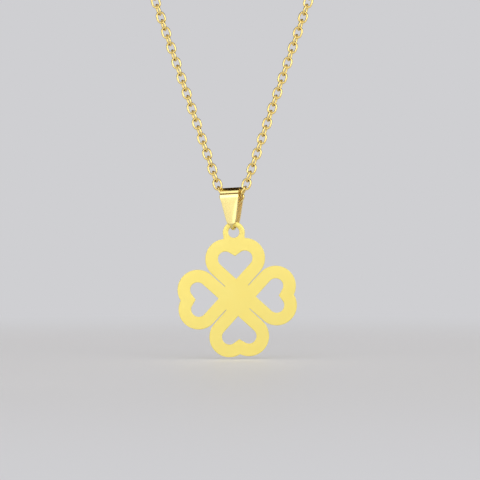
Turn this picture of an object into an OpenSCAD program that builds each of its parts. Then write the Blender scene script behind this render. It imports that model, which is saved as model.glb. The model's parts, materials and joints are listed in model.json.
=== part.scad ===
// Four leaf clover pendant on a fine cable chain, hung as round a neck.
// X runs to the right, Y away from the viewer, Z up. Lengths are in mm, angles in degrees.

/* [Clover] */
// Thickness of the cut plate and of its eye
plate_t = 1.0; // [0.8:0.1:1.6]
// Width of each of the eight round lobes
lobe_d = 9.54; // [8.6:0.1:10.4]
// Distance between the two lobes of one leaf
lobe_gap = 4.58; // [4.2:0.1:5]
// Distance from the middle of the clover to the lobes of a leaf
leaf_reach = 9.21; // [8.7:0.1:9.8]
// Width of the metal left round each heart
rim_w = 3.0; // [2.6:0.1:3.4]
// Distance from the middle of the clover to the point of a heart
heart_tip = 4.4; // [4.1:0.1:5]
// Height of a heart's cleft over the middle of its lobes
cleft_rise = 0.6; // [0.5:0.1:1]
// Radius of the solid middle, where the slits between the leaves end
core_r = 3.9; // [3:0.1:4]
// Outer diameter of the eye
eye_d = 5.2; // [5:0.1:5.8]
// Diameter of the hole in the eye
eye_hole_d = 2.6; // [2.5:0.1:2.9]
// Distance from the middle of the clover to the middle of the eye
eye_reach = 15.35; // [15:0.1:16]
// How far the hole sits above the middle of the eye
hole_rise = 0.1; // [0:0.05:0.2]
// Bevel round the edges of the eye
eye_bevel = 0.22; // [0.15:0.01:0.25]
// Width of the straight neck between the eye and its leaf
neck_w = 5.1; // [4.7:0.1:5.2]

/* [Bail] */
// Width of the folded strip along the chain
bail_w = 4.6; // [4:0.1:5.2]
// Thickness of the strip
bail_t = 0.5; // [0.4:0.05:0.6]
// Room between the fold and the side of a link that lies across it
fold_room = 0.68; // [0.66:0.01:0.9]
// Distance from the middle of the fold down to the axis that the eye swings on
bail_drop = 6.37; // [6:0.1:8]
// Room between the eye's band and the foot of the bail
foot_room = 0.35; // [0.3:0.025:0.5]
// Inside radius of the foot, side view
foot_r = 1.3; // [1.15:0.05:1.4]
// Width of the strip where it reaches the eye
leaf_end_w = 2.3; // [1.8:0.1:2.4]
// Height of a leaf's wide end over the axis that the eye swings on
leaf_end_rise = 0.3; // [0:0.05:0.4]
// Height over which a leaf narrows to the foot
leaf_taper = 0.5; // [0.4:0.05:0.7]
// Width of the strip where it passes through the eye
foot_w = 0.8; // [0.7:0.1:1.2]
// Turn of the bail about the vertical, its right side to the viewer
bail_turn = 18; // [0:1:20]
// Lean of the bail and clover, foot to the right
lean = 3; // [0:0.5:4]

/* [Chain] */
// Length of the whole necklace, measured round the loop
loop_len = 450; // [400:10:460]
// Wire that the links are bent from
wire_d = 0.48; // [0.4:0.02:0.5]
// Outer width of a link
link_w = 2.2; // [2.1:0.05:2.3]
// Distance from one link to the next
pitch = 1.889; // [1.85:0.01:2]
// Play where two links hang in each other
link_play = 0.17; // [0.15:0.01:0.25]
// Angle of the two hanging sides from the vertical
side_angle = 18.7; // [15:0.5:20]
// Rise of the first link beside the lowest one
first_rise = 42; // [38:1:46]
// Turn of the second link, part way from the bail's turn to the front
second_turn = 15; // [8:1:18]
// How far the chain lies below the fold where it leaves the bail
edge_drop = 1.35; // [1.3:0.05:1.6]
// How far out of the bail the first free link starts
edge_run = 1.05; // [1:0.05:1.3]
// Roll of every second link about the chain
edge_roll = 70; // [60:5:90]
// Height up to which the chain hangs in one plane
bend_start = 55; // [45:1:70]
// Radius of the bend back over the shoulders
bend_r = 60; // [45:1:80]
// Angle of the stretch round the nape, from the vertical
nape_angle = 62; // [45:1:70]

/* [Clasp] */
// Length of the clasp from end to end
clasp_len = 9.6; // [8.6:0.1:12]
// Width of the clasp's loop
clasp_w = 4.2; // [4:0.1:5]
// Width of the metal round the loop
clasp_rim = 0.8; // [0.7:0.05:0.9]
// Thickness of the clasp
clasp_t = 1.6; // [1.2:0.1:1.7]
// Thickness of the clasp's small eye
clasp_eye_t = 0.8; // [0.6:0.05:0.85]
// Outer diameter of the clasp's small eye
clasp_eye_d = 2.0; // [1.9:0.05:2.4]
// Hole in the clasp's small eye
clasp_eye_hole_d = 1.1; // [1:0.05:1.2]
// Wire of the ring that the clasp hooks into
ring_wire_d = 0.6; // [0.5:0.05:0.7]
// Outer diameter of that ring
ring_d = 3.6; // [3.4:0.1:4.2]

/* [Hidden] */
$fn = 72;
// Facets of a wire's round section
wire_fn = 24;
// Spare depth of a cut
cut = 0.5;
// Turns a length along an arc into degrees
deg = 180 / PI;

// Clover
lobe_r = lobe_d / 2;
lobe_x = lobe_gap / 2;
heart_r = lobe_r - rim_w;
eye_mid_z = (eye_d + eye_hole_d) / 4 + hole_rise / 2;
neck_end = eye_reach - sqrt(max(eye_d ^ 2 - neck_w ^ 2, 0)) / 2;
eye_band = (eye_d - eye_hole_d) / 2 - hole_rise;

// Bail, from the middle of its fold
fold_r = link_w / 2 + fold_room;
bail_top = fold_r + bail_t;
foot_z = -bail_drop - eye_band / 2 - foot_room + foot_r;
leaf_end_z = -bail_drop + leaf_end_rise;
foot_end_z = leaf_end_z - leaf_taper;

// Chain
link_len = pitch + 2 * wire_d + link_play;
link_r = (link_w - wire_d) / 2;
link_half = (link_len - link_w) / 2;
across = link_len - wire_d;
between = 2 * pitch - across;
edge_x = bail_w / 2 * cos(bail_turn);
free_x = edge_x + edge_run;
near_x = (across / 2 + between * cos(first_rise)) * cos(bail_turn);
second_rise = acos((free_x - near_x) / (across * cos(second_turn)));
low_z = bail_top - bail_t - edge_drop - between * sin(first_rise) - (edge_x - near_x) * tan(second_rise);

// Joints of the first links, from the lowest point of the chain
joint1 = across / 2 * heading(0, bail_turn);
joint2 = joint1 + between * heading(first_rise, bail_turn);
joint3 = joint2 + across * heading(second_rise, second_turn);

// Hardware at the nape
ring_r = (ring_d - ring_wire_d) / 2;
ring_in_r = ring_r - ring_wire_d / 2;
hook_play = ring_in_r - sqrt(ring_in_r * ring_in_r - clasp_t * clasp_t / 4) + link_play;
link_in_r = link_r - wire_d / 2;
eye_play = link_in_r - sqrt(link_in_r * link_in_r - clasp_eye_t * clasp_eye_t / 4) + link_play;
clasp_eye_rim = (clasp_eye_d - clasp_eye_hole_d) / 2;
// From the last link's middle to the ring's middle and to the clasp's two ends
ring_run = link_len / 2 - wire_d - ring_wire_d / 2 - link_play + ring_r;
hook_run = ring_run + ring_in_r - hook_play - clasp_rim;
eye_run = link_len / 2 - wire_d - eye_play - clasp_eye_rim;

// Loop: an even count on the left and one less on the right, so the clasp's eye lies across its link
left_links = 2 * round((loop_len - hook_run - eye_run - clasp_len + pitch) / (4 * pitch));
right_links = left_links - 1;
half_len = (hook_run + eye_run + clasp_len + (left_links + right_links) * pitch) / 2;
start_len = across * 3 / 2 + between;
top_r = (half_len - start_len + joint3.x / sin(side_angle)) / (1 / tan(side_angle) + (90 + side_angle) / deg);
side_len = start_len + (top_r * cos(side_angle) - joint3.x) / sin(side_angle);
side_rise = (side_len - start_len) * cos(side_angle);
bend_len = bend_r * nape_angle / deg;

// The middle of the nape is the origin
nape = route(half_len, 1);
fold_at = [0, 0, 0] - nape;
eye_at = fold_at + [(bail_drop + eye_mid_z) * sin(lean), 0, -(bail_drop + eye_mid_z) * cos(lean)];

function heading(rise, turn) = [cos(rise) * cos(turn), -cos(rise) * sin(turn), sin(rise)];

// The loop laid flat: two straight sides and one round arc over them
function flat(s) = let(turned = -side_angle + (s - side_len) / top_r * deg)
  s < side_len
    ? [joint3.x + (s - start_len) * sin(side_angle), (s - start_len) * cos(side_angle)]
    : [top_r * cos(turned), side_rise + top_r * (sin(side_angle) + sin(turned))];

// Tilt back at a height in the flat loop, and the place that it is carried to
function tilt(v) = min(max((v - bend_start) / bend_r * deg, 0), nape_angle);
function carried(v) = let(past = max(v - bend_start - bend_len, 0))
  [bend_r * (1 - cos(tilt(v))) + past * sin(nape_angle),
   min(v, bend_start) + bend_r * sin(tilt(v)) + past * cos(nape_angle)];

// A point of the necklace at a length from its lowest link, side 1 right and -1 left
function route(s, side) = let(p = flat(s), q = carried(p[1]))
  [side * p[0],
   q[0] + side * joint3.y * max(1 - p[1] / bend_start, 0),
   low_z + joint3.z + q[1]];
function front(s) = let(t = tilt(flat(s)[1])) [0, -cos(t), sin(t)];

// The links at the bail follow its turn, the others the route
function across_bail(v, side) = [side * v.x, side * v.y, low_z + v.z];
function link_from(i, side) =
  i == 1 ? across_bail(joint1, side) : i == 2 ? across_bail(joint2, side) : route((i - 0.5) * pitch, side);
function link_to(i, side) =
  i == 1 ? across_bail(joint2, side) : i == 2 ? across_bail(joint3, side) : route((i + 0.5) * pitch, side);
function link_front(i) = let(turn = i == 2 ? second_turn : bail_turn)
  i < 3 ? [-sin(turn), -cos(turn), 0] : front(i * pitch);

// Puts what is drawn along Y, facing Z, between two points with that side to a direction
module between_points(from, to, facing) {
  along = (to - from) / norm(to - from);
  side = cross(along, facing) / norm(cross(along, facing));
  up = cross(side, along);
  middle = (from + to) / 2 - nape;
  multmatrix([
    [side.x, along.x, up.x, middle.x],
    [side.y, along.y, up.y, middle.y],
    [side.z, along.z, up.z, middle.z],
    [0, 0, 0, 1]
  ]) children();
}

module two_lobes(r, x) {
  for (side = [-1, 1]) translate([side * x, leaf_reach]) circle(r);
}

// One heart cut-out, pointing at the middle of the clover
module heart() {
  tip_run = norm([lobe_x, leaf_reach - heart_tip]);
  tip_turn = atan2(lobe_x, leaf_reach - heart_tip) + asin(heart_r / tip_run);
  touch = [lobe_x + heart_r * cos(tip_turn), leaf_reach - heart_r * sin(tip_turn)];
  top_run = norm([lobe_x, cleft_rise]);
  top_turn = atan2(cleft_rise, lobe_x) + acos(heart_r / top_run);
  rest = [lobe_x - heart_r * cos(top_turn), leaf_reach + heart_r * sin(top_turn)];
  two_lobes(heart_r, lobe_x);
  polygon([
    [0, heart_tip], touch, [lobe_x, leaf_reach], rest,
    [0, leaf_reach + cleft_rise],
    [-rest[0], rest[1]], [-lobe_x, leaf_reach], [-touch[0], touch[1]]
  ]);
}

// One leaf's outline down to the middle of the clover
module leaf() {
  shoulder = lobe_r * sin(45);
  two_lobes(lobe_r, lobe_x);
  polygon([
    [0, 0],
    [lobe_x + shoulder, leaf_reach - shoulder], [lobe_x, leaf_reach],
    [-lobe_x, leaf_reach], [-lobe_x - shoulder, leaf_reach - shoulder]
  ]);
}

module clover() {
  half = eye_d / 2;
  edge = plate_t / 2;
  color([0.93, 0.78, 0.36]) translate(eye_at) rotate([0, -lean, 0]) rotate([90, 0, 0]) difference() {
    union() {
      translate([0, -eye_reach, -edge]) linear_extrude(plate_t) difference() {
        union() {
          for (k = [0 : 3]) rotate(k * 90) leaf();
          circle(core_r);
          translate([-neck_w / 2, leaf_reach]) square([neck_w, neck_end - leaf_reach]);
        }
        for (k = [0 : 3]) rotate(k * 90) heart();
      }
      rotate_extrude() polygon([
        [0, -edge], [half - eye_bevel, -edge], [half, -edge + eye_bevel],
        [half, edge - eye_bevel], [half - eye_bevel, edge], [0, edge]
      ]);
    }
    translate([0, hole_rise, -edge - cut]) cylinder(d = eye_hole_d, h = plate_t + 2 * cut);
    for (face = [0, 180]) rotate([face, 0, 0]) translate([0, face == 0 ? hole_rise : -hole_rise, edge - eye_bevel])
      cylinder(d1 = eye_hole_d, d2 = eye_hole_d + 4 * eye_bevel, h = 2 * eye_bevel);
  }
}

// The bail's fold and foot filled in, with straight sides that touch both
module bail_body(high_r, low_r, width) {
  slope = asin((high_r - low_r) / -foot_z);
  rotate([90, 0, 90]) {
    cylinder(r = high_r, h = width, center = true);
    translate([0, foot_z, 0]) cylinder(r = low_r, h = width, center = true);
    linear_extrude(width, center = true) polygon([
      [high_r * cos(slope), -high_r * sin(slope)], [low_r * cos(slope), foot_z - low_r * sin(slope)],
      [-low_r * cos(slope), foot_z - low_r * sin(slope)], [-high_r * cos(slope), -high_r * sin(slope)]
    ]);
  }
}

module bail() {
  depth = 2 * bail_top + 2 * cut;
  low = foot_z - foot_r - bail_t - cut;
  color([0.95, 0.82, 0.42]) translate(fold_at) rotate([0, -lean, 0]) rotate([0, 0, -bail_turn]) intersection() {
    difference() {
      bail_body(bail_top, foot_r + bail_t, bail_w + cut);
      bail_body(fold_r, foot_r, bail_w + 2 * cut);
    }
    rotate([90, 0, 0]) linear_extrude(depth, center = true) polygon([
      [-bail_w / 2, bail_top + cut], [bail_w / 2, bail_top + cut],
      [bail_w / 2, 0], [leaf_end_w / 2, leaf_end_z], [foot_w / 2, foot_end_z], [foot_w / 2, low],
      [-foot_w / 2, low], [-foot_w / 2, foot_end_z], [-leaf_end_w / 2, leaf_end_z], [-bail_w / 2, 0]
    ]);
  }
}

// One link, lying along Y and facing Z
module link() {
  for (end = [0, 180])
    translate([0, end == 0 ? link_half : -link_half, 0])
      rotate_extrude(angle = 180, start = end) translate([link_r, 0]) circle(d = wire_d, $fn = wire_fn);
  translate([0, -link_half, 0]) rotate([-90, 0, 0]) linear_extrude(2 * link_half)
    for (side = [-1, 1]) translate([side * link_r, 0]) circle(d = wire_d, $fn = wire_fn);
}

// Links of one side, every second one rolled about the chain
module links(first, last, side) {
  for (i = [first : last])
    between_points(link_from(i, side), link_to(i, side), link_front(i))
      rotate([0, i % 2 == 1 ? 0 : i < 3 ? 90 : side * edge_roll, 0]) link();
}

module chain_left() {
  color([0.9, 0.72, 0.28]) links(1, left_links, -1);
}

module chain_right() {
  color([0.9, 0.72, 0.28]) {
    between_points(across_bail(joint1, -1), across_bail(joint1, 1), link_front(0)) rotate([0, 90, 0]) link();
    links(1, right_links, 1);
  }
}

// The ring lies across the last link on the right
module end_ring() {
  at = right_links * pitch + ring_run;
  color([0.88, 0.7, 0.26]) between_points(route(at - ring_r, 1), route(at + ring_r, 1), front(at))
    rotate([0, 90, 0]) rotate_extrude() translate([ring_r, 0]) circle(d = ring_wire_d, $fn = wire_fn);
}

// A closed hook, drawn along Y with its loop at the bottom and its small eye at the top
module clasp() {
  loop_r = clasp_w / 2;
  eye_r = clasp_eye_d / 2;
  eye_y = clasp_len / 2 - eye_r;
  loop_y = loop_r - clasp_len / 2;
  neck_y = eye_y - eye_r;
  throat_r = loop_r - clasp_rim;
  slope = asin((loop_r - eye_r) / (neck_y - loop_y));
  color([0.9, 0.74, 0.3])
    between_points(
      route(right_links * pitch + hook_run, 1), route(left_links * pitch + eye_run, -1), front(half_len)
    ) {
      translate([0, 0, -clasp_t / 2]) linear_extrude(clasp_t) difference() {
        union() {
          translate([0, loop_y]) circle(loop_r);
          polygon([
            [loop_r * cos(slope), loop_y + loop_r * sin(slope)],
            [eye_r * cos(slope), neck_y],
            [-eye_r * cos(slope), neck_y],
            [-loop_r * cos(slope), loop_y + loop_r * sin(slope)]
          ]);
        }
        translate([0, loop_y]) circle(throat_r);
      }
      translate([0, 0, -clasp_eye_t / 2]) linear_extrude(clasp_eye_t) difference() {
        union() {
          translate([0, eye_y]) circle(eye_r);
          translate([-eye_r * cos(slope), neck_y - clasp_rim]) square([2 * eye_r * cos(slope), clasp_rim + eye_r / 2]);
        }
        translate([0, eye_y]) circle(d = clasp_eye_hole_d);
      }
    }
}

clover();
bail();
chain_left();
chain_right();
clasp();
end_ring();
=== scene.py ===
import json
import math

import bmesh
import bpy
from mathutils import Matrix, Vector


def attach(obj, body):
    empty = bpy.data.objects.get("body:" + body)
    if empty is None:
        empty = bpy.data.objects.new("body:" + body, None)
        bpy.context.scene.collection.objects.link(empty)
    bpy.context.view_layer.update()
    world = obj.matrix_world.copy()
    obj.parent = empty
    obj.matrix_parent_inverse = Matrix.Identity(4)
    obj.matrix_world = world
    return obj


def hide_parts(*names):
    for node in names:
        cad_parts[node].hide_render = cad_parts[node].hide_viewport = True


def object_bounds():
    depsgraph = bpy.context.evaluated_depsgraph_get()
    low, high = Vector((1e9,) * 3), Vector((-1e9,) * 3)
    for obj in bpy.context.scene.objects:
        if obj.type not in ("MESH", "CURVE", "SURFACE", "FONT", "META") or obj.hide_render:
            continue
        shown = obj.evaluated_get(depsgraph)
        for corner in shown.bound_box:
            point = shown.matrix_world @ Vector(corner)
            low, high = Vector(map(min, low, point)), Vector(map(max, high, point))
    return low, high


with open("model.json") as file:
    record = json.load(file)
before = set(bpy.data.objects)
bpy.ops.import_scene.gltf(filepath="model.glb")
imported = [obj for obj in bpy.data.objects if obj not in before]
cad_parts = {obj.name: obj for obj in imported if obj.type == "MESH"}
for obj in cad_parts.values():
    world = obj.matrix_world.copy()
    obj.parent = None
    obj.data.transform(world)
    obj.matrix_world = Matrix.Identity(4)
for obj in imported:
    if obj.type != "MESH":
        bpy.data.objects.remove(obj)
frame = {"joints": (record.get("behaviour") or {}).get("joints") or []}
cad_box = [list(corner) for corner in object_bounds()]
MM = 0.001

# Camera: a long lens far off and level with the pendant, as for a catalogue picture of a hanging necklace.
# It looks along +Y, square on to the clover's plate, and the chain's two sides run out at the frame's top.
picture_w = 113.3 * MM
picture_mid = Vector((1.9, -89.28, -151.1)) * MM
lens_mm, sensor_mm, nearest = 180.0, 36.0, 0.05
bpy.ops.object.select_all(action="DESELECT")
bpy.ops.object.camera_add(
    location=picture_mid - Vector((0, picture_w * lens_mm / sensor_mm, 0)),
    rotation=(math.radians(90), 0, 0),
)
camera = bpy.context.object
camera.data.lens = lens_mm
camera.data.sensor_width = sensor_mm
camera.data.clip_start = nearest
bpy.context.scene.camera = camera
bpy.context.scene.view_settings.view_transform = "Standard"


# Room: the camera sees a plain pale studio wall. The metal sees it dimmer, with dark flags at the sides, a
# dark ceiling and an arch of light over its front half, which draw the bands that polished metal shows.
def linear(hex_colour):
    """An sRGB hex colour as linear RGBA."""
    parts = [int(hex_colour[i:i + 2], 16) / 255 for i in (1, 3, 5)]
    return [c / 12.92 if c <= 0.04045 else ((c + 0.055) / 1.055) ** 2.4 for c in parts] + [1.0]


def add(tree, kind, inputs=None, **settings):
    """A new node with its settings. An input is a value, or the socket that feeds it."""
    node = tree.nodes.new(kind)
    for name, value in settings.items():
        setattr(node, name, value)
    for name, value in (inputs or {}).items():
        if isinstance(value, bpy.types.NodeSocket):
            tree.links.new(value, node.inputs[name])
        else:
            node.inputs[name].default_value = value
    return node


wall_colour, dim_wall_colour, gap_colour = "#CFCFD2", "#A2A2A6", "#7A5F3C"
ceiling_colour, flag_colour, arch_light = "#331B09", "#281B10", 1.3
wall_end, ceiling_start, arch_low, arch_high = (math.sin(math.radians(rise)) for rise in (31, 34, 45, 69))
arch_blur = 0.03
room = bpy.data.worlds.new("studio_room")
room.use_nodes = True
tree = room.node_tree
tree.nodes.clear()
bpy.context.scene.world = room
direction = add(tree, "ShaderNodeTexCoord")
way = add(tree, "ShaderNodeSeparateXYZ", {"Vector": direction.outputs["Generated"]})
wall = add(
    tree, "ShaderNodeMapRange",
    {
        "Value": way.outputs["Z"], "From Min": wall_end, "From Max": ceiling_start,
        "To Min": 1.0, "To Max": 0.0,
    },
)


def between_steps(*steps):
    """Where a ray's direction lies inside every step, an axis with the values where it starts and is full."""
    inside = 1.0
    for axis, start, full in steps:
        edge = add(
            tree, "ShaderNodeMapRange", {"Value": way.outputs[axis], "From Min": start, "From Max": full}
        )
        both = add(tree, "ShaderNodeMath", {0: edge.outputs[0], 1: inside}, operation="MULTIPLY")
        inside = both.outputs[0]
    return inside


front_half = ("Y", 0.02, -0.1)
flags = between_steps(("Y", -0.55, -0.4), ("Y", 0.98, 0.93))
gap = between_steps(("Z", wall_end, ceiling_start), ("Z", arch_low + arch_blur, arch_low), front_half)
arch = between_steps(
    ("Z", arch_low, arch_low + arch_blur), ("Z", arch_high + arch_blur / 2, arch_high), front_half
)
camera_ray = add(tree, "ShaderNodeLightPath").outputs["Is Camera Ray"]
lit = linear(ceiling_colour)
for share, colour in (
    (wall.outputs[0], linear(dim_wall_colour)),
    (flags, linear(flag_colour)),
    (gap, linear(gap_colour)),
    (arch, [arch_light] * 3 + [1]),
    (camera_ray, linear(wall_colour)),
):
    lit = add(tree, "ShaderNodeMix", {0: share, 6: lit, 7: colour}, data_type="RGBA").outputs[2]
room_light = add(tree, "ShaderNodeBackground", {"Color": lit})
add(tree, "ShaderNodeOutputWorld", {"Surface": room_light.outputs["Background"]})


# Floor: a sheet of pale matt acrylic just under the clover, lit a little from below. It runs out into the
# colour of the wall, so no horizon crosses the picture, and from underneath it is clear.
floor_gap, floor_r, floor_mid = 0.5 * MM, 6.0, Vector((0, -0.089, 0))
floor_colour, floor_glow, fade_from, fade_to = "#C6C6C6", 0.53, 0.1, 0.34
bpy.ops.object.select_all(action="DESELECT")
bpy.ops.mesh.primitive_circle_add(
    vertices=96, radius=floor_r, fill_type="NGON", location=(0, floor_mid.y, cad_box[0][2] - floor_gap)
)
floor = bpy.context.object
floor.name = "floor"
bpy.ops.object.transform_apply()
acrylic = bpy.data.materials.new("matt_white_acrylic")
acrylic.use_nodes = True
tree = acrylic.node_tree
tree.nodes.clear()
place = add(tree, "ShaderNodeTexCoord")
centred = add(
    tree, "ShaderNodeVectorMath", {0: place.outputs["Object"], 1: floor_mid}, operation="SUBTRACT"
)
flat = add(tree, "ShaderNodeVectorMath", {0: centred.outputs[0], 1: (1, 1, 0)}, operation="MULTIPLY")
run = add(tree, "ShaderNodeVectorMath", {0: flat.outputs[0]}, operation="LENGTH")
fade = add(
    tree, "ShaderNodeMapRange",
    {"Value": run.outputs["Value"], "From Min": fade_from, "From Max": fade_to},
    interpolation_type="SMOOTHSTEP",
)
sheet = add(
    tree, "ShaderNodeBsdfPrincipled",
    {
        "Base Color": linear(floor_colour), "Roughness": 0.55, "Specular IOR Level": 0.3,
        "Emission Color": linear(wall_colour), "Emission Strength": floor_glow,
    },
)
glow = add(tree, "ShaderNodeEmission", {"Color": linear(wall_colour), "Strength": 1.0})
seen = add(tree, "ShaderNodeMixShader", {0: fade.outputs[0], 1: sheet.outputs[0], 2: glow.outputs[0]})
side = add(tree, "ShaderNodeNewGeometry")
clear = add(tree, "ShaderNodeBsdfTransparent")
one_way = add(
    tree, "ShaderNodeMixShader",
    {0: side.outputs["Backfacing"], 1: seen.outputs[0], 2: clear.outputs[0]},
)
add(tree, "ShaderNodeOutputMaterial", {"Surface": one_way.outputs[0]})
floor.data.materials.append(acrylic)


# Lights: broad softboxes round the pendant, four small panels close in front, and two upright strips. The
# panels fill the bail's face, the strips draw the thin lights along the links. The top softbox is kept to the
# clover, whose plate mirrors it when it swings up. Brightness is what a mirror shows.
lit_point = Vector((0, -89, -150)) * MM
plate_only = bpy.data.collections.new("plate_only")
for name, bearing, rise, away, wide, tall, brightness in [
    ("front_softbox", 4, 12, 1.6, 1.4, 0.92, 1.17),
    ("left_softbox", -45, 15, 1.6, 0.8, 0.76, 1.65),
    ("right_softbox", 44, 12, 1.6, 0.8, 0.9, 2.3),
    ("back_softbox", 178, 6, 1.6, 1.2, 0.6, 0.55),
    ("top_softbox", 180, 62, 1.6, 5.0, 3.0, 0.8),
    ("left_panel", -45, -6, 0.13, 0.085, 0.028, 0.3),
    ("left_panel_high", -44, 3, 0.13, 0.09, 0.033, 0.72),
    ("front_panel", -22, -7, 0.12, 0.034, 0.015, 1.0),
    ("right_panel", 50, -2, 0.13, 0.1, 0.05, 0.3),
    ("left_strip", -76, 6, 1.3, 0.16, 1.1, 1.8),
    ("right_strip", 66, 8, 1.3, 0.16, 1.1, 1.8),
]:
    a, e = math.radians(bearing), math.radians(rise)
    aim = Vector((math.sin(a) * math.cos(e), -math.cos(a) * math.cos(e), math.sin(e)))
    bpy.ops.object.select_all(action="DESELECT")
    bpy.ops.object.light_add(
        type="AREA", location=lit_point + aim * away, rotation=aim.to_track_quat("Z", "Y").to_euler()
    )
    box = bpy.context.object
    box.name = name
    box.visible_camera = False
    box.visible_diffuse = "softbox" in name
    box.data.shape = "RECTANGLE"
    box.data.size, box.data.size_y = wide, tall
    box.data.energy = brightness * math.pi * wide * tall
    if name == "top_softbox":
        box.light_linking.receiver_collection = plate_only


# Clover: one plate of stainless steel, cut by laser with its four heart openings and its eye, tumbled to
# round the edges and plated a pale yellow gold. The slits between the leaves stop short of the solid middle.
def pick(test, kind="VERT"):
    """In edit mode, selects the vertices, edges or faces whose middle passes a test."""
    bpy.ops.mesh.select_mode(type=kind)
    bpy.ops.mesh.select_all(action="DESELECT")
    mesh = bmesh.from_edit_mesh(bpy.context.edit_object.data)
    parts = {"VERT": mesh.verts, "EDGE": mesh.edges, "FACE": mesh.faces}[kind]
    for part in parts:
        corners = [part.co] if kind == "VERT" else [v.co for v in part.verts]
        part.select_set(test(sum(corners, Vector()) / len(corners) / MM))
    mesh.select_flush_mode()
    bmesh.update_edit_mesh(bpy.context.edit_object.data)


def near(*places):
    """A test for lying at one of some places, in millimetres."""
    return lambda p: any((p - Vector(place)).length < 0.02 for place in places)


def move_to(start, end):
    """Moves the one vertex at a place to another, in millimetres."""
    pick(near(start))
    bpy.ops.transform.translate(value=(Vector(end) - Vector(start)) * MM)


def join_up(*places):
    """Joins the vertices at some places by an edge or a face."""
    pick(near(*places))
    bpy.ops.mesh.edge_face_add()


def finish_with(piece, kind, **settings):
    """Adds a modifier to the piece and applies it."""
    made = piece.modifiers.new(kind.lower(), kind)
    for name, value in settings.items():
        setattr(made, name, value)
    bpy.context.view_layer.objects.active = piece
    bpy.ops.object.modifier_apply(modifier=made.name)


plate_t, lobe_r, lobe_x, leaf_reach, rim_w = 1.0, 4.77, 2.29, 9.21, 3.0
heart_tip, cleft_rise, core_r, edge_round = 4.4, 0.6, 3.9, 0.08
eye_r, eye_hole_r, eye_reach, hole_rise = 2.6, 1.3, 15.35, 0.1
heart_r = lobe_r - rim_w
# Where a lobe's round rim starts and ends, in degrees, on vertices of its circle
rim_start, rim_end = -45, 120
lobe = Vector((lobe_x, leaf_reach, 0))


def round_lobe(r, degrees):
    """A place on a circle round the lobe's middle."""
    return lobe + r * Vector((math.cos(math.radians(degrees)), math.sin(math.radians(degrees)), 0))


# One half leaf: the lobe's rim, its straight run to the middle and its joint with the other half
bpy.ops.object.select_all(action="DESELECT")
bpy.ops.mesh.primitive_circle_add(vertices=48, radius=lobe_r * MM, location=lobe * MM)
clover = bpy.context.object
clover.name = "clover_plate"
bpy.ops.object.transform_apply()
bpy.ops.object.mode_set(mode="EDIT")
pick(lambda p: not rim_start - 1 < math.degrees(math.atan2(p.y - lobe.y, p.x - lobe.x)) < rim_end + 1)
bpy.ops.mesh.delete(type="VERT")
pick(lambda p: True, "EDGE")
bpy.ops.mesh.extrude_edges_move()
bpy.ops.transform.resize(value=(heart_r / lobe_r,) * 3, center_override=lobe * MM)
outer_cleft = Vector((0, leaf_reach + math.sqrt(lobe_r ** 2 - lobe_x ** 2), 0))
move_to(round_lobe(lobe_r, rim_end), outer_cleft)
move_to(round_lobe(heart_r, rim_end), (0, leaf_reach + cleft_rise, 0))
shoulder, touch = round_lobe(lobe_r, rim_start), round_lobe(heart_r, rim_start)
slit_end = shoulder.normalized() * core_r
pick(near((shoulder + touch) / 2), "EDGE")
bpy.ops.mesh.extrude_edges_move()
bpy.ops.transform.translate(value=(slit_end - shoulder) * MM)
pick(near(touch + slit_end - shoulder))
bpy.ops.transform.translate(value=(Vector((0, heart_tip, 0)) - touch - slit_end + shoulder) * MM)
bpy.ops.object.mode_set(mode="OBJECT")
finish_with(clover, "MIRROR", merge_threshold=0.01 * MM)

# The four leaves, and the solid middle that joins them
bpy.ops.object.mode_set(mode="EDIT")
bpy.ops.mesh.select_all(action="SELECT")
bpy.ops.mesh.spin(steps=4, dupli=True, angle=math.tau, center=(0, 0, 0), axis=(0, 0, 1))
bpy.ops.mesh.select_all(action="SELECT")
bpy.ops.mesh.remove_doubles(threshold=0.01 * MM)
for k in range(4):
    turn = Matrix.Rotation(k * math.pi / 2, 3, "Z")
    join_up(turn @ slit_end, turn @ Vector((slit_end.y, slit_end.x, 0)))
pick(lambda p: p.length < heart_tip + 0.05)
bpy.ops.mesh.edge_face_add()

# The eye on the top leaf, with the metal between its hole and the leaf's cleft
eye = Vector((0, eye_reach, 0))
bpy.ops.mesh.select_all(action="DESELECT")
bpy.ops.mesh.primitive_circle_add(vertices=48, radius=eye_r * MM, location=eye * MM)
bpy.ops.mesh.extrude_edges_move()
bpy.ops.transform.resize(value=(eye_hole_r / eye_r,) * 3, center_override=eye * MM)
bpy.ops.transform.translate(value=(0, hole_rise * MM, 0))
neck_side, foot_flare, foot_sink = math.radians(15), 0.02, 0.006
pick(lambda p: abs((p - eye).length - eye_r) < 0.02 and p.y < eye_reach - eye_r * math.sin(neck_side + 0.05))
bpy.ops.mesh.delete(type="VERT")
ring_side = eye + eye_r * Vector((math.cos(neck_side), -math.sin(neck_side), 0))
lobe_top = round_lobe(lobe_r, 90)
neck_foot = Vector((ring_side.x + foot_flare, lobe_top.y - foot_sink, 0))
for x in (1, -1):
    move_to((x * lobe_top.x, lobe_top.y, 0), (x * neck_foot.x, neck_foot.y, 0))
    join_up((x * ring_side.x, ring_side.y, 0), (x * neck_foot.x, neck_foot.y, 0))
hole = eye + Vector((0, hole_rise, 0))


def round_neck(p):
    """Whether a vertex is on the border of the metal between the eye's hole and the leaf's cleft."""
    if (p - hole).length < eye_hole_r + 0.03:
        return p.y < hole.y - eye_hole_r * math.sin(neck_side) + 0.01
    return abs(p.x) < neck_foot.x + 0.01 and outer_cleft.y - 0.02 < p.y < ring_side.y + 0.01


pick(round_neck)
bpy.ops.mesh.edge_face_add()

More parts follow.
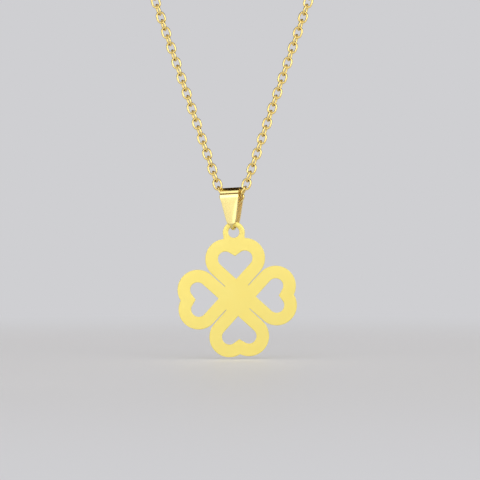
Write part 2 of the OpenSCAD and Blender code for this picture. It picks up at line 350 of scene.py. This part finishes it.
# Its thickness, and its edges rounded by tumbling
bpy.ops.mesh.select_all(action="SELECT")
bpy.ops.transform.translate(value=(0, 0, -plate_t / 2 * MM))
bpy.ops.mesh.extrude_region_move(TRANSFORM_OT_translate={"value": (0, 0, plate_t * MM)})
bpy.ops.mesh.select_all(action="SELECT")
bpy.ops.mesh.normals_make_consistent(inside=False)
bpy.ops.mesh.select_mode(type="EDGE")
bpy.ops.mesh.select_all(action="DESELECT")
bpy.ops.mesh.edges_select_sharp(sharpness=math.radians(60))
bpy.ops.transform.edge_bevelweight(value=1)
bpy.ops.object.mode_set(mode="OBJECT")
finish_with(
    clover, "BEVEL", width=edge_round * MM, segments=3, limit_method="WEIGHT", use_clamp_overlap=False
)

# Its place: upright, leaning, with the middle of the eye's band on the axis that it swings on
joint_at = {joint["name"]: Vector(joint["pos_m"]) / MM for joint in frame["joints"]}
lean, bail_turn = math.radians(3), math.radians(18)
eye_drop = (eye_r + eye_hole_r + hole_rise) / 2
eye_at = joint_at["clover_swing"] + eye_drop * Vector((math.sin(lean), 0, -math.cos(lean)))
clover.data.transform(Matrix.Translation(-eye * MM))
clover.matrix_world = (
    Matrix.Translation(eye_at * MM) @ Matrix.Rotation(-lean, 4, "Y")
    @ Matrix.Rotation(math.pi / 2, 4, "X")
)
bpy.ops.object.transform_apply()
bpy.ops.object.shade_smooth_by_angle(angle=math.radians(40))
finish_with(clover, "WEIGHTED_NORMAL", weight=80, keep_sharp=True)

# Pale yellow gold, put on by PVD over satin steel: an even pale sheen, with a trace of the grain left by the
# belt at 0.12 mm between lines, drawn coarse to show, and slow clouds from the tumbling 6 mm across.
grain_w, grain_len, cloud_w = 0.12 * MM, 4 * MM, 6 * MM
satin = bpy.data.materials.new("satin_gold_pvd_on_steel")
satin.use_nodes = True
tree = satin.node_tree
tree.nodes.clear()
place = add(tree, "ShaderNodeTexCoord")
along = add(
    tree, "ShaderNodeMapping",
    {
        "Vector": place.outputs["Object"], "Rotation": (0, lean, 0),
        "Scale": (1 / grain_w, 1 / grain_w, 1 / grain_len),
    },
)
grain = add(
    tree, "ShaderNodeTexNoise",
    {"Vector": along.outputs[0], "Scale": 1.0, "Detail": 3.0, "Roughness": 0.6},
)
clouds = add(
    tree, "ShaderNodeTexNoise", {"Vector": place.outputs["Object"], "Scale": 1 / cloud_w, "Detail": 2.0}
)
tone = add(
    tree, "ShaderNodeMix", {0: clouds.outputs["Fac"], 6: linear("#F2E181"), 7: linear("#F3DE77")},
    data_type="RGBA",
)
cloud_rough = add(
    tree, "ShaderNodeMapRange", {"Value": clouds.outputs["Fac"], "To Min": 0.27, "To Max": 0.35}
)
rough = add(
    tree, "ShaderNodeMath", {0: grain.outputs["Fac"], 1: 0.06, 2: cloud_rough.outputs[0]},
    operation="MULTIPLY_ADD",
)
bump = add(tree, "ShaderNodeBump", {"Height": grain.outputs["Fac"], "Strength": 0.25, "Distance": 0.01 * MM})
metal = add(
    tree, "ShaderNodeBsdfPrincipled",
    {
        "Base Color": tone.outputs[2], "Metallic": 1.0, "Roughness": rough.outputs[0],
        "Normal": bump.outputs[0], "Coat Weight": 0.25, "Coat Roughness": 0.2,
    },
)
add(tree, "ShaderNodeOutputMaterial", {"Surface": metal.outputs[0]})
clover.data.materials.append(satin)
plate_only.objects.link(clover)
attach(clover, "clover_body")
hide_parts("clover")


# Bail: a tapered strip of steel, folded over the chain and closed round the eye, its faces pressed with a
# flat slope along each edge, then polished bright and plated gold.
bail_w, bail_t, fold_r, foot_r, bail_drop, foot_room = 4.6, 0.5, 1.78, 1.3, 6.37, 0.35
leaf_end_w, leaf_end_rise, leaf_taper, foot_w = 2.3, 0.3, 0.5, 0.8
slope_w, slope_most, slope_drop, slope_from, bail_edge = 0.78, 0.3, 0.085, -0.5, 0.06
fold_steps, side_steps, foot_steps = 20, 6, 16
eye_band = eye_r - eye_hole_r - hole_rise
foot_z = foot_r - bail_drop - eye_band / 2 - foot_room
leaf_end_z = leaf_end_rise - bail_drop
fold_at = joint_at["bail_swing"]
fold_mid, foot_mid = fold_r + bail_t / 2, foot_r + bail_t / 2
side_lean = math.asin((fold_mid - foot_mid) / -foot_z)


def strip_width(z):
    """The strip's width at a height from the middle of its fold."""
    if z >= 0:
        return bail_w
    if z > leaf_end_z:
        return bail_w + (leaf_end_w - bail_w) * z / leaf_end_z
    return leaf_end_w + (foot_w - leaf_end_w) * min((leaf_end_z - z) / leaf_taper, 1)


# Bright gold plating over polished steel: it mirrors the room, softened a little by hairline wipe marks. They
# are drawn 0.3 mm apart and 3 mm long, and show as small changes of gloss. The wheel doesn't reach the inner
# side of the strip, which stays a satin with a grain of 0.15 mm. Its colour is painted paler: painted light
# that brightens the inside of the bail.
platings, mark_turn = [], (0.2, 0.3, 0)
for name, colour, (mark_w, mark_len), gloss, height in (
    ("mirror_polished_gold_plating", "#FAE799", (0.3, 3), (0.12, 0.17), 0.01),
    # The inner side's paler colour is painted light that brightens the inside of the bail's fold.
    ("satin_gold_plating_painted_paler", "#FDE8A6", (0.15, 0.6), (0.66, 0.74), 0.1),
):
    plating = bpy.data.materials.new(name)
    plating.use_nodes = True
    tree = plating.node_tree
    tree.nodes.clear()
    place = add(tree, "ShaderNodeTexCoord")
    along = add(
        tree, "ShaderNodeMapping",
        {
            "Vector": place.outputs["Object"], "Rotation": mark_turn,
            "Scale": [1 / (size * MM) for size in (mark_w, mark_w, mark_len)],
        },
    )
    wipes = add(tree, "ShaderNodeTexNoise", {"Vector": along.outputs[0], "Scale": 1.0, "Detail": 4.0})
    rough = add(
        tree, "ShaderNodeMapRange", {"Value": wipes.outputs["Fac"], "To Min": gloss[0], "To Max": gloss[1]}
    )
    bump = add(
        tree, "ShaderNodeBump", {"Height": wipes.outputs["Fac"], "Strength": height, "Distance": 0.005 * MM}
    )
    metal = add(
        tree, "ShaderNodeBsdfPrincipled",
        {
            "Base Color": linear(colour), "Metallic": 1.0, "Roughness": rough.outputs[0],
            "Normal": bump.outputs[0], "Coat Weight": 0.3, "Coat Roughness": 0.04,
        },
    )
    add(tree, "ShaderNodeOutputMaterial", {"Surface": metal.outputs[0]})
    platings.append(plating)

# Half the strip: a row across the top of the fold, with a vertex where each slope starts, swept to the foot
bpy.ops.object.select_all(action="DESELECT")
bpy.ops.mesh.primitive_grid_add(
    x_subdivisions=4, y_subdivisions=1, size=bail_w * MM, location=(0, 0, fold_mid * MM)
)
bail = bpy.context.object
bail.name = "bail_strip"
for plating in platings:
    bail.data.materials.append(plating)
bpy.ops.object.transform_apply()
bpy.ops.object.mode_set(mode="EDIT")
pick(lambda p: p.y > 0)
bpy.ops.mesh.delete(type="VERT")
pick(lambda p: True)
bpy.ops.transform.translate(value=(0, bail_w / 2 * MM, 0))
for x in (1, -1):
    pick(lambda p: abs(p.x - x * bail_w / 4) < 0.01)
    bpy.ops.transform.translate(value=(x * (bail_w / 4 - slope_w) * MM, 0, 0))
pick(lambda p: True, "EDGE")
bpy.ops.mesh.spin(steps=fold_steps, angle=math.pi / 2 + side_lean, center=(0, 0, 0), axis=(1, 0, 0))

# Spin can turn either way, so the side that the row came down on is read from the mesh
mesh = bmesh.from_edit_mesh(bail.data)
out = 1 if [v.co.y for v in mesh.verts if v.select][0] > 0 else -1
down = Vector((0, -out * math.sin(side_lean), -math.cos(side_lean)))
strip_side = -foot_z * math.cos(side_lean)
for _ in range(side_steps):
    bpy.ops.mesh.extrude_edges_move()
    bpy.ops.transform.translate(value=down * strip_side / side_steps * MM)
bpy.ops.mesh.spin(
    steps=foot_steps, angle=math.pi / 2 - side_lean, center=(0, 0, foot_z * MM), axis=(1, 0, 0)
)

# Row by row it is drawn in to its tapered outline, while each slope keeps its width
rows = sorted({round(v.co.z / MM, 3) for v in bmesh.from_edit_mesh(bail.data).verts if v.co.z < 0})
for row in rows:
    share, flat_w = strip_width(row) / bail_w, bail_w / 2 - slope_w
    pick(lambda p: abs(p.z - row) < 0.002)
    bpy.ops.transform.resize(value=(share, 1, 1), center_override=(0, 0, 0))
    pick(lambda p: abs(p.z - row) < 0.002 and abs(p.x) < flat_w * share + 0.01)
    slope = min(slope_w, slope_most * strip_width(row))
    flat_share = (strip_width(row) / 2 - slope) / (flat_w * share)
    bpy.ops.transform.resize(value=(flat_share, 1, 1), center_override=(0, 0, 0))
bpy.ops.object.mode_set(mode="OBJECT")
finish_with(bail, "MIRROR", use_axis=(False, True, False), merge_threshold=0.01 * MM)
bpy.ops.object.mode_set(mode="EDIT")
bpy.ops.mesh.select_all(action="SELECT")
bpy.ops.mesh.normals_make_consistent(inside=False)
bpy.ops.object.mode_set(mode="OBJECT")
finish_with(bail, "SOLIDIFY", thickness=bail_t * MM, offset=0, use_even_offset=True, material_offset=1)


def outside(p):
    """Whether a place on the bail is on the strip's outer side."""
    if p.z > 0:
        return math.hypot(p.y, p.z) > fold_mid
    if p.z < foot_z:
        return math.hypot(p.y, p.z - foot_z) > foot_mid
    return abs(p.y) > fold_mid + (foot_mid - fold_mid) * p.z / foot_z


# The slopes pressed in on the outer side, then all edges rounded
bpy.ops.object.mode_set(mode="EDIT")
pick(lambda p: outside(p) and p.z < slope_from and abs(p.x) > strip_width(p.z) / 2 - 0.05)
bpy.ops.transform.shrink_fatten(value=-slope_drop * MM)
bpy.ops.mesh.select_mode(type="EDGE")
bpy.ops.mesh.select_all(action="DESELECT")
bpy.ops.mesh.edges_select_sharp(sharpness=math.radians(40))
bpy.ops.transform.edge_bevelweight(value=1)
bpy.ops.object.mode_set(mode="OBJECT")
finish_with(
    bail, "BEVEL", width=bail_edge * MM, segments=2, limit_method="WEIGHT", use_clamp_overlap=False
)
bail.matrix_world = (
    Matrix.Translation(fold_at * MM) @ Matrix.Rotation(-lean, 4, "Y") @ Matrix.Rotation(-bail_turn, 4, "Z")
)
bpy.ops.object.transform_apply()
bpy.ops.object.shade_smooth_by_angle(angle=math.radians(7))
finish_with(bail, "WEIGHTED_NORMAL", weight=60, keep_sharp=True)
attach(bail, "bail_body")
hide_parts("bail")


# Chain: a cable chain of oval links, each bent from round brass wire, soldered shut and hung across the next.
# One link is modelled and copied to every place along the route that the two CAD sides follow.
wire_d, link_w, pitch, link_play = 0.48, 2.2, 1.889, 0.17
link_len = pitch + 2 * wire_d + link_play
link_r, link_half = (link_w - wire_d) / 2, (link_len - link_w) / 2
section_sides, bend_steps, flat_loss = 6, 6, 0.945
# One step of Catmull-Clark rounding draws a hexagon in to this share of its size, its flats a little more
# than its corners, and the bends a little
section_share = (4 + 2 * math.cos(math.tau / section_sides)) / 6 * flat_loss
bend_share = (4 + 2 * math.cos(math.pi / bend_steps)) / 6
wire_r = wire_d / 2 / section_share

# One link: a bend at each end, turned outwards whichever way spin goes, and two straight sides
bpy.ops.object.select_all(action="DESELECT")
bpy.ops.mesh.primitive_circle_add(
    vertices=section_sides, radius=wire_r * MM, location=(link_r / bend_share * MM, link_half * MM, 0),
    rotation=(math.pi / 2, 0, 0),
)
link = bpy.context.object
bpy.ops.object.transform_apply()
bpy.ops.object.mode_set(mode="EDIT")
bpy.ops.mesh.select_all(action="SELECT")
bpy.ops.mesh.spin(steps=bend_steps, angle=math.pi, center=(0, link_half * MM, 0), axis=(0, 0, 1))
mesh = bmesh.from_edit_mesh(link.data)
if min(v.co.y for v in mesh.verts) < link_half * MM - link_r * MM:
    bpy.ops.mesh.select_all(action="SELECT")
    bpy.ops.transform.resize(value=(1, -1, 1), center_override=(0, link_half * MM, 0))
bpy.ops.mesh.select_all(action="SELECT")
bpy.ops.mesh.duplicate()
bpy.ops.transform.resize(value=(1, -1, 1), center_override=(0, 0, 0))
pick(lambda p: abs(abs(p.y) - link_half) < 0.001, "EDGE")
pick(lambda p: abs(p.y) < link_half + 0.001 and p.x > 0, "EDGE")
bpy.ops.mesh.bridge_edge_loops()
pick(lambda p: abs(abs(p.y) - link_half) < 0.001 and p.x < 0, "EDGE")
bpy.ops.mesh.bridge_edge_loops()
bpy.ops.mesh.select_all(action="SELECT")
bpy.ops.mesh.normals_make_consistent(inside=False)
bpy.ops.object.mode_set(mode="OBJECT")
bpy.ops.object.shade_smooth()

# The route, as the CAD has it: the first links follow the bail's turn, then the chain hangs straight, bends
# back over the shoulders and closes in a round arc at the nape
side_angle, first_rise, second_turn = math.radians(18.7), math.radians(42), math.radians(15)
edge_drop, edge_run, edge_roll = 1.35, 1.05, math.radians(70)
bend_start, bend_r, nape_angle = 55.0, 60.0, math.radians(62)
left_links, right_links, half_len = 116, 115, 224.103
across = link_len - wire_d
between = 2 * pitch - across


def heading(rise, turn):
    """The direction at a rise from level, turned about the vertical."""
    return Vector((math.cos(rise) * math.cos(turn), -math.cos(rise) * math.sin(turn), math.sin(rise)))


edge_x = bail_w / 2 * math.cos(bail_turn)
near_x = (across / 2 + between * math.cos(first_rise)) * math.cos(bail_turn)
second_rise = math.acos((edge_x + edge_run - near_x) / (across * math.cos(second_turn)))
low_z = fold_r - edge_drop - between * math.sin(first_rise) - (edge_x - near_x) * math.tan(second_rise)
joint1 = across / 2 * heading(0, bail_turn)
joint2 = joint1 + between * heading(first_rise, bail_turn)
joint3 = joint2 + across * heading(second_rise, second_turn)
start_len = across * 3 / 2 + between
top_r = (half_len - start_len + joint3.x / math.sin(side_angle)) / (
    1 / math.tan(side_angle) + math.pi / 2 + side_angle
)
side_len = start_len + (top_r * math.cos(side_angle) - joint3.x) / math.sin(side_angle)
side_rise = (side_len - start_len) * math.cos(side_angle)
bend_len = bend_r * nape_angle


def flat_loop(s):
    """The place in the loop laid flat at a length from its lowest link."""
    if s < side_len:
        return joint3.x + (s - start_len) * math.sin(side_angle), (s - start_len) * math.cos(side_angle)
    turned = (s - side_len) / top_r - side_angle
    return top_r * math.cos(turned), side_rise + top_r * (math.sin(side_angle) + math.sin(turned))


def tilt(v):
    """How far the chain leans back at a height in the loop laid flat."""
    return min(max((v - bend_start) / bend_r, 0), nape_angle)


def route(s, side):
    """The chain's middle line at a length from its lowest link, seen from the fold; side 1 right, -1 left."""
    x, v = flat_loop(s)
    past = max(v - bend_start - bend_len, 0)
    back = bend_r * (1 - math.cos(tilt(v))) + past * math.sin(nape_angle)
    up = min(v, bend_start) + bend_r * math.sin(tilt(v)) + past * math.cos(nape_angle)
    return Vector((side * x, back + side * joint3.y * max(1 - v / bend_start, 0), low_z + joint3.z + up))


def at_bail(v, side):
    """An end of one of the first links, seen from the fold."""
    return Vector((side * v.x, side * v.y, low_z + v.z))


def link_place(i, side):
    """Where a link lies and how it is turned: along its own Y, facing Z before its roll."""
    if i < 3:
        ends = [at_bail(v, side) for v in ((-joint1, joint1), (joint1, joint2), (joint2, joint3))[i]]
        turn = second_turn if i == 2 else bail_turn
        facing = Vector((-math.sin(turn), -math.cos(turn), 0))
    else:
        ends = [route((i - 0.5) * pitch, side), route((i + 0.5) * pitch, side)]
        lean_back = tilt(flat_loop(i * pitch)[1])
        facing = Vector((0, -math.cos(lean_back), math.sin(lean_back)))
    roll = 0 if i % 2 else math.pi / 2 if i < 3 else side * edge_roll
    return between_points(*ends, facing) @ Matrix.Rotation(roll, 4, "Y")


def between_points(start, end, facing):
    """The frame half way between two points, Y from one to the other and Z on the side that is faced."""
    y = (end - start).normalized()
    x = y.cross(facing).normalized()
    turned = Matrix((x, y, x.cross(y))).transposed().to_4x4()
    return Matrix.Translation((fold_at + (start + end) / 2) * MM) @ turned


# Gold-coloured plating over brass wire, barrel-polished on the chain: bright, with reflections worn soft in
# patches 0.8 mm across where the links rub, and a slow change of tone over about 8 mm.
wear_w, drift_w = 0.8 * MM, 8 * MM
plated = bpy.data.materials.new("barrel_polished_gold_plating")
plated.use_nodes = True
tree = plated.node_tree
tree.nodes.clear()
place = add(tree, "ShaderNodeTexCoord")
wear = add(
    tree, "ShaderNodeTexNoise", {"Vector": place.outputs["Object"], "Scale": 1 / wear_w, "Detail": 3.0}
)
drift = add(
    tree, "ShaderNodeTexNoise", {"Vector": place.outputs["Object"], "Scale": 1 / drift_w, "Detail": 1.0}
)
tone = add(
    tree, "ShaderNodeMix", {0: drift.outputs["Fac"], 6: linear("#F9DB7E"), 7: linear("#FBE494")},
    data_type="RGBA",
)
rough = add(tree, "ShaderNodeMapRange", {"Value": wear.outputs["Fac"], "To Min": 0.08, "To Max": 0.2})
metal = add(
    tree, "ShaderNodeBsdfPrincipled",
    {
        "Base Color": tone.outputs[2], "Metallic": 1.0, "Roughness": rough.outputs[0],
        "Coat Weight": 0.6, "Coat Roughness": 0.06,
    },
)
add(tree, "ShaderNodeOutputMaterial", {"Surface": metal.outputs[0]})
link.data.materials.append(plated)

for name, side, numbers in (
    ("chain_left", -1, range(1, left_links + 1)),
    ("chain_right", 1, range(right_links + 1)),
):
    bpy.ops.object.select_all(action="DESELECT")
    for i in numbers:
        copy = link.copy()
        copy.data = link.data.copy()
        copy.data.transform(link_place(i, side))
        bpy.context.collection.objects.link(copy)
        copy.select_set(True)
    bpy.context.view_layer.objects.active = copy
    bpy.ops.object.join()
    chain = bpy.context.object
    chain.name = f"{name}_links"
    finish_with(chain, "SUBSURF", levels=1, render_levels=1)
    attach(chain, "necklace")
    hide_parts(name)
bpy.data.objects.remove(link)


# End ring: one turn of thicker brass wire, soldered shut and plated like the chain, that the clasp hooks into
# at the chain's right end. It lies across the last link.
ring_wire_d, ring_d = 0.6, 3.6
ring_r = (ring_d - ring_wire_d) / 2
ring_run = link_len / 2 - wire_d - ring_wire_d / 2 - link_play + ring_r
ring_mid = right_links * pitch + ring_run
lean_back = tilt(flat_loop(ring_mid)[1])
facing = Vector((0, -math.cos(lean_back), math.sin(lean_back)))
bpy.ops.object.select_all(action="DESELECT")
bpy.ops.mesh.primitive_torus_add(
    major_segments=48, minor_segments=16, major_radius=ring_r * MM, minor_radius=ring_wire_d / 2 * MM
)
ring = bpy.context.object
ring.name = "end_ring_wire"
ring.data.transform(
    between_points(route(ring_mid - ring_r, 1), route(ring_mid + ring_r, 1), facing)
    @ Matrix.Rotation(math.pi / 2, 4, "Y")
)
bpy.ops.object.shade_smooth()
ring.data.materials.append(plated)
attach(ring, "necklace")
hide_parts("end_ring")


# Clasp: a cast brass lobster clasp with rounded edges, hooked into the end ring and with its small eye in the
# chain's last link. Its gate is a little thinner than the hook, with a thumb tab beside it. It stays shut.
clasp_len, loop_r, clasp_rim, clasp_t = 9.6, 2.1, 0.8, 1.6
clasp_eye_r, clasp_eye_hole_r, clasp_eye_t, clasp_round = 1.0, 0.55, 0.8, 0.13
neck_half, shoulder_run, shoulder_share, shoulder_sink = 0.98, 0.12, 0.94, 0.26
gate_t, tab_out, tab_rise, tab_low, tab_high = 1.2, 0.32, 0.07, -1.3, -0.6
# Where the body leaves the loop and where the gate runs, in degrees round the loop's middle
body_leaves, gate_start, gate_end = 15, -40, 10
loop_mid = Vector((0, loop_r - clasp_len / 2, 0))
eye_mid = Vector((0, clasp_len / 2 - clasp_eye_r, 0))
neck = Vector((neck_half, eye_mid.y - clasp_eye_r, 0))
bpy.ops.object.select_all(action="DESELECT")
bpy.ops.mesh.primitive_circle_add(vertices=48, radius=loop_r * MM, location=loop_mid * MM)
clasp = bpy.context.object
clasp.name = "clasp_hook"
bpy.ops.object.transform_apply()
bpy.ops.object.mode_set(mode="EDIT")
bpy.ops.mesh.select_all(action="SELECT")
bpy.ops.mesh.extrude_edges_move()
bpy.ops.transform.resize(value=(1 - clasp_rim / loop_r,) * 3, center_override=loop_mid * MM)

# The body between the loop and the neck, one face that reaches to the loop's hole
leaves = math.radians(body_leaves)
for side in (1, -1):
    corner = loop_mid + loop_r * Vector((side * math.cos(leaves), math.sin(leaves), 0))
    pick(near(corner))
    bpy.ops.mesh.extrude_vertices_move()
    bpy.ops.transform.translate(value=(Vector((side * neck.x, neck.y, 0)) - corner) * MM)
pick(lambda p: abs(abs(p.x) - (abs(corner.x) + neck.x) / 2) < 0.02 and p.y > corner.y, "EDGE")
bpy.ops.mesh.subdivide(number_cuts=6)
join_up((neck.x, neck.y, 0), (-neck.x, neck.y, 0))
pick(lambda p: abs((p - loop_mid).length - loop_r) < 0.02 and p.y > corner.y + 0.02)
bpy.ops.mesh.delete(type="VERT")
pick(lambda p: math.degrees(math.atan2(p.y - loop_mid.y, abs(p.x))) > body_leaves - 0.1, "EDGE")
bpy.ops.mesh.edge_face_add()
bpy.ops.mesh.select_all(action="SELECT")
bpy.ops.transform.translate(value=(0, 0, -clasp_t / 2 * MM))
bpy.ops.mesh.extrude_region_move(TRANSFORM_OT_translate={"value": (0, 0, clasp_t * MM)})
bpy.ops.mesh.select_all(action="SELECT")
bpy.ops.mesh.normals_make_consistent(inside=False)

# The shoulder down to the eye, the thin gate and its tab
pick(near((0, neck.y, 0)), "FACE")
bpy.ops.mesh.extrude_region_move(TRANSFORM_OT_translate={"value": (0, shoulder_run * MM, 0)})
bpy.ops.transform.resize(value=(shoulder_share, 1, clasp_eye_t / clasp_t), center_override=(0, 0, 0))
bpy.ops.mesh.extrude_region_move(TRANSFORM_OT_translate={"value": (0, shoulder_sink * MM, 0)})
pick(
    lambda p: (p - loop_mid).xy.length < loop_r + 0.05
    and gate_start < math.degrees(math.atan2(p.y - loop_mid.y, p.x)) < gate_end
)
bpy.ops.transform.resize(value=(1, 1, gate_t / clasp_t), center_override=(0, 0, 0))
pick(
    lambda p: abs(p.z) < 0.01 and p.x > 0 and tab_low < p.y < tab_high
    and (p - loop_mid).length > loop_r + 0.02,
    "FACE",
)
bpy.ops.mesh.extrude_region_move(TRANSFORM_OT_translate={"value": (tab_out * MM, tab_rise * MM, 0)})
bpy.ops.transform.resize(value=(1, 0.8, 0.6))

# The eye, a flat ring that stands in the shoulder
bpy.ops.mesh.select_all(action="DESELECT")
bpy.ops.mesh.primitive_circle_add(vertices=32, radius=clasp_eye_r * MM, location=eye_mid * MM)
bpy.ops.mesh.extrude_edges_move()
bpy.ops.transform.resize(value=(clasp_eye_hole_r / clasp_eye_r,) * 3, center_override=eye_mid * MM)
pick(lambda p: abs(p.z) < 0.01 and (p - eye_mid).length < clasp_eye_r + 0.02)
bpy.ops.transform.translate(value=(0, 0, -clasp_eye_t / 2 * MM))
bpy.ops.mesh.extrude_region_move(TRANSFORM_OT_translate={"value": (0, 0, clasp_eye_t * MM)})
bpy.ops.mesh.select_all(action="SELECT")
bpy.ops.mesh.normals_make_consistent(inside=False)
bpy.ops.mesh.select_mode(type="EDGE")
bpy.ops.mesh.select_all(action="DESELECT")
bpy.ops.mesh.edges_select_sharp(sharpness=math.radians(50))
bpy.ops.transform.edge_bevelweight(value=1)
bpy.ops.object.mode_set(mode="OBJECT")
finish_with(
    clasp, "BEVEL", width=clasp_round * MM, segments=4, limit_method="WEIGHT", use_clamp_overlap=False
)

# Its place in the loop, hooked into the ring and into the last link with the same play as the links
ring_in_r, link_in_r = ring_r - ring_wire_d / 2, link_r - wire_d / 2
hook_play = ring_in_r - math.sqrt(ring_in_r ** 2 - clasp_t ** 2 / 4) + link_play
eye_play = link_in_r - math.sqrt(link_in_r ** 2 - clasp_eye_t ** 2 / 4) + link_play
hook_run = ring_run + ring_in_r - hook_play - clasp_rim
eye_run = link_len / 2 - wire_d - eye_play - (clasp_eye_r - clasp_eye_hole_r)
lean_back = tilt(flat_loop(half_len)[1])
facing = Vector((0, -math.cos(lean_back), math.sin(lean_back)))
clasp.data.transform(
    between_points(route(right_links * pitch + hook_run, 1), route(left_links * pitch + eye_run, -1), facing)
)
bpy.ops.object.shade_smooth_by_angle(angle=math.radians(30))
finish_with(clasp, "WEIGHTED_NORMAL", weight=100, keep_sharp=True)
clasp.data.materials.append(plated)
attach(clasp, "necklace")
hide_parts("clasp")
